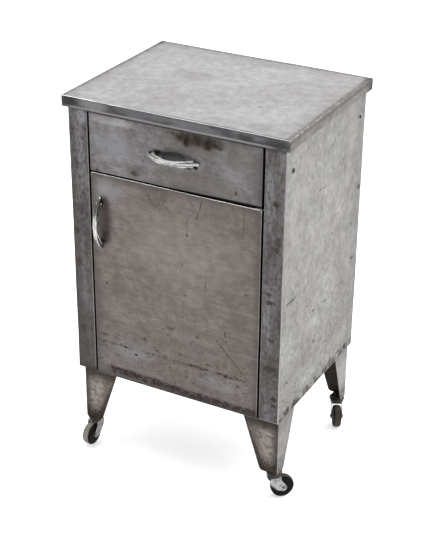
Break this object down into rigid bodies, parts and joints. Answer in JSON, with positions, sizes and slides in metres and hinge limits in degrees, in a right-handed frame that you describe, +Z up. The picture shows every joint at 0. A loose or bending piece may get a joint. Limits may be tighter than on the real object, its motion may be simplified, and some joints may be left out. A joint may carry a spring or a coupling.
{
  "type": "bedside cabinet",
  "caption": "Sheet-steel bedside cabinet on tapered legs with swivel casters, one drawer above a side-hinged cupboard door, bow pulls on both.",
  "frame": {"origin": "on the floor, under the middle of the object's bounding box", "axes": "+Z up, -Y towards the front with the drawer and the door, +X to the right of someone who faces the front"},
  "size_m": [0.5154, 0.4116, 0.8265],
  "materials": {
    "bare_steel": "stripped sheet steel with a clear coat: brushed grain, stains and rust specks",
    "chrome": "bright chrome plate, a little worn",
    "zinc_steel": "dull zinc plate",
    "dark_steel": "oily blackened steel",
    "rubber": "hard black rubber, dusty"
  },
  "bodies": {
    "cabinet": {"top_cover": "bare_steel", "side_panel_left": "bare_steel", "side_panel_right": "bare_steel", "back_panel": "bare_steel", "bottom_pan": "bare_steel", "divider_panel": "bare_steel", "header_rail": "bare_steel", "shelf": "bare_steel", "shelf_bracket_left": "zinc_steel", "shelf_bracket_right": "zinc_steel", "drawer_channel_left": "zinc_steel", "drawer_channel_right": "zinc_steel", "door_catch": "zinc_steel", "hinge_leaf_top": "zinc_steel", "hinge_pin_top": "zinc_steel", "hinge_pin_bottom": "zinc_steel", "leg_front_right": "bare_steel", "foot_plate_front_right": "dark_steel", "caster_housing_front_right": "dark_steel", "leg_front_left": "bare_steel", "foot_plate_front_left": "dark_steel", "caster_housing_front_left": "dark_steel", "leg_back_right": "bare_steel", "foot_plate_back_right": "dark_steel", "caster_housing_back_right": "dark_steel", "leg_back_left": "bare_steel", "foot_plate_back_left": "dark_steel", "caster_housing_back_left": "dark_steel"},
    "drawer": {"drawer_front": "bare_steel", "drawer_box": "bare_steel", "drawer_runner_left": "zinc_steel", "drawer_runner_right": "zinc_steel", "drawer_pull": "chrome", "drawer_pull_screw_a": "zinc_steel", "drawer_pull_screw_b": "zinc_steel"},
    "door": {"door_skin": "bare_steel", "door_liner": "bare_steel", "door_strike": "zinc_steel", "door_pull": "chrome", "door_pull_screw_a": "zinc_steel", "door_pull_screw_b": "zinc_steel"},
    "caster_front_right": {"caster_fork_front_right": "chrome", "caster_axle_front_right": "zinc_steel"},
    "wheel_front_right": {"caster_tyre_front_right": "rubber", "caster_hub_front_right": "zinc_steel"},
    "caster_front_left": {"caster_fork_front_left": "chrome", "caster_axle_front_left": "zinc_steel"},
    "wheel_front_left": {"caster_tyre_front_left": "rubber", "caster_hub_front_left": "zinc_steel"},
    "caster_back_right": {"caster_fork_back_right": "chrome", "caster_axle_back_right": "zinc_steel"},
    "wheel_back_right": {"caster_tyre_back_right": "rubber", "caster_hub_back_right": "zinc_steel"},
    "caster_back_left": {"caster_fork_back_left": "chrome", "caster_axle_back_left": "zinc_steel"},
    "wheel_back_left": {"caster_tyre_back_left": "rubber", "caster_hub_back_left": "zinc_steel"}
  },
  "joints": [
    {"name": "drawer_slide", "type": "slide", "parent": "cabinet", "child": "drawer", "axis": [0, -1, 0], "range_m": [0, 0.26]},
    {"name": "door_hinge", "type": "hinge", "parent": "cabinet", "child": "door", "pos_m": [0.188, -0.175, 0.2035], "axis": [0, 0, 1], "range_deg": [0, 100]},
    {"name": "swivel_front_right", "type": "hinge", "parent": "cabinet", "child": "caster_front_right", "pos_m": [0.2218, -0.15105, 0.0675], "axis": [0, 0, 1], "continuous": true},
    {"name": "spin_front_right", "type": "hinge", "parent": "caster_front_right", "child": "wheel_front_right", "pos_m": [0.23464, -0.13843, 0.0255], "axis": [-0.7009, 0.7133, 0], "continuous": true},
    {"name": "swivel_front_left", "type": "hinge", "parent": "cabinet", "child": "caster_front_left", "pos_m": [-0.2218, -0.15105, 0.0675], "axis": [0, 0, 1], "continuous": true},
    {"name": "spin_front_left", "type": "hinge", "parent": "caster_front_left", "child": "wheel_front_left", "pos_m": [-0.22243, -0.16904, 0.0255], "axis": [0.9994, -0.0349, 0], "continuous": true},
    {"name": "swivel_back_right", "type": "hinge", "parent": "cabinet", "child": "caster_back_right", "pos_m": [0.2218, 0.17465, 0.0675], "axis": [0, 0, 1], "continuous": true},
    {"name": "spin_back_right", "type": "hinge", "parent": "caster_back_right", "child": "wheel_back_right", "pos_m": [0.23025, 0.15876, 0.0255], "axis": [0.8829, 0.4695, 0], "continuous": true},
    {"name": "swivel_back_left", "type": "hinge", "parent": "cabinet", "child": "caster_back_left", "pos_m": [-0.2218, 0.17465, 0.0675], "axis": [0, 0, 1], "continuous": true},
    {"name": "spin_back_left", "type": "hinge", "parent": "caster_back_left", "child": "wheel_back_left", "pos_m": [-0.23464, 0.16203, 0.0255], "axis": [0.7009, -0.7133, 0], "continuous": true}
  ]
}
